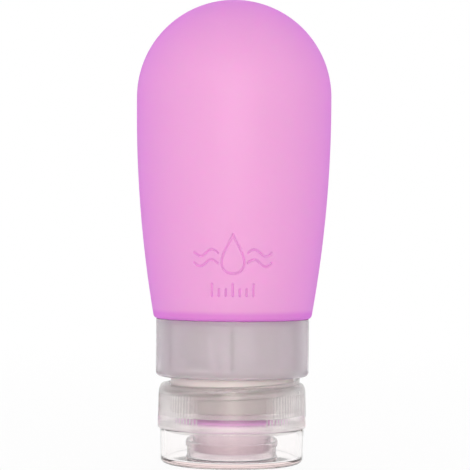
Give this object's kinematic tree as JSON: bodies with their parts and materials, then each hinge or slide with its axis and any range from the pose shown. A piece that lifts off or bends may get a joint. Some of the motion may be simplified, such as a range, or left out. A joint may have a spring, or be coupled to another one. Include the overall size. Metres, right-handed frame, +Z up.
{
  "type": "squeeze bottle",
  "caption": "Soft squeeze bottle standing on its flip-top screw cap, with a turning collar, a ring of label fields behind its window, a drip valve and a clear hinged lid.",
  "frame": {"origin": "centre of the lid's flat foot, on the surface that the bottle stands on", "axes": "+Z up along the bottle's axis, -Y towards the front with the collar's window, +X towards the lid's hinge"},
  "size_m": [0.0476, 0.0476, 0.113],
  "materials": {
    "silicone": "satin translucent",
    "natural_plastic": "satin translucent",
    "frosted_plastic": "frosted",
    "ring_plastic": "satin",
    "seal_rubber": "satin",
    "cap_plastic": "glossy translucent",
    "valve_silicone": "satin",
    "clear_plastic": "glossy clear"
  },
  "bodies": {
    "bottle": {"bottle_body": "silicone", "neck_insert": "natural_plastic", "id_ring": "ring_plastic"},
    "collar": {"collar": "frosted_plastic"},
    "gasket": {"cap_gasket": "seal_rubber"},
    "cap": {"cap_base": "cap_plastic", "drip_valve": "valve_silicone", "valve_retainer": "natural_plastic"},
    "lid": {"lid": "clear_plastic"}
  },
  "joints": [
    {"name": "collar_turn", "type": "hinge", "parent": "bottle", "child": "collar", "pos_m": [0, 0, 0.0282], "axis": [0, 0, 1], "continuous": true},
    {"name": "cap_travel", "type": "slide", "parent": "bottle", "child": "gasket", "axis": [0, 0, -1], "range_m": [0, 0.006]},
    {"name": "cap_turn", "type": "hinge", "parent": "gasket", "child": "cap", "pos_m": [0, 0, 0.0127], "axis": [0, 0, -1], "range_deg": [0, 540]},
    {"name": "lid_hinge", "type": "hinge", "parent": "cap", "child": "lid", "pos_m": [0.0169, 0, 0.0098], "axis": [0, -1, 0], "range_deg": [0, 120]}
  ],
  "couplings": [
    {"joint": "cap_travel", "follows": "cap_turn", "m_per_rad": 0.0006366}
  ]
}
